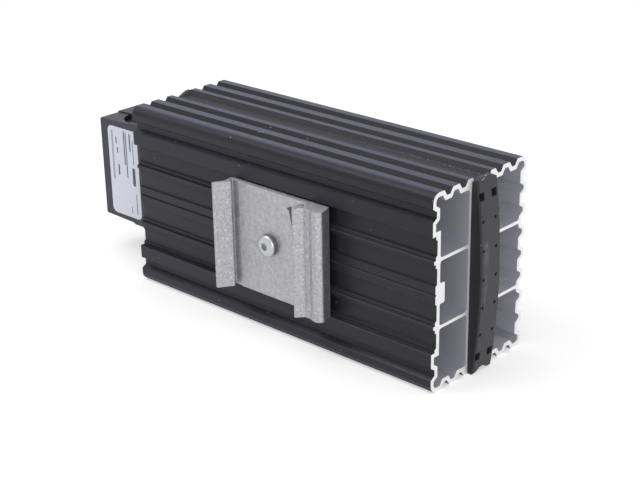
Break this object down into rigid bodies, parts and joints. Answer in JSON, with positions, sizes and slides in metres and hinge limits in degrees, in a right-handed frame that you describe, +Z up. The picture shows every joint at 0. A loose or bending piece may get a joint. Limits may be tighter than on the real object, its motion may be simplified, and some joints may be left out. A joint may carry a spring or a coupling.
{
  "type": "enclosure heater",
  "caption": "Cabinet heater: black ribbed aluminium extrusion with air chambers around a flat heating slot, plastic terminal box at one end, cap at the other, and a spring clip for a mounting rail.",
  "frame": {"origin": "under the middle of the whole heater, at the level of its lower ribs", "axes": "+X along the extrusion from the terminal box to the end cap, -Y out of the face that carries the rail clip, +Z up; the rail runs along Z"},
  "size_m": [0.1842, 0.0584, 0.07],
  "materials": {
    "black_anodised": "satin",
    "bare_aluminium": "mill",
    "zinc_plated_steel": "satin",
    "black_plastic": "matte",
    "label_film": "satin",
    "polyimide_film": "gloss",
    "pale_plastic": "matte",
    "dark_ceramic": "matte",
    "tinned_copper": "satin",
    "spring_steel": "satin",
    "brown_insulation": "matte",
    "blue_insulation": "matte",
    "green_insulation": "matte"
  },
  "bodies": {
    "root": {"heatsink_profile": "black_anodised", "end_cap": "black_plastic", "rail_clip": "bare_aluminium", "clip_screw": "zinc_plated_steel", "terminal_box_body": "black_plastic", "terminal_box_cover": "black_plastic", "type_label": "label_film", "pressure_bar_front": "bare_aluminium", "pressure_bar_rear": "bare_aluminium", "insulating_sleeve": "polyimide_film", "electrode_front": "bare_aluminium", "electrode_rear": "bare_aluminium", "stone_frame": "pale_plastic", "ptc_stone_1": "dark_ceramic", "ptc_stone_2": "dark_ceramic", "ptc_stone_3": "dark_ceramic", "ptc_stone_4": "dark_ceramic", "contact_bar_1": "tinned_copper", "contact_bar_2": "tinned_copper", "contact_bar_3": "tinned_copper", "contact_bar_4": "tinned_copper", "clamp_spring_1": "spring_steel", "clamp_spring_2": "spring_steel", "clamp_spring_3": "spring_steel", "clamp_spring_4": "spring_steel", "line_lead": "brown_insulation", "neutral_lead": "blue_insulation", "earth_lead": "green_insulation"}
  },
  "joints": []
}
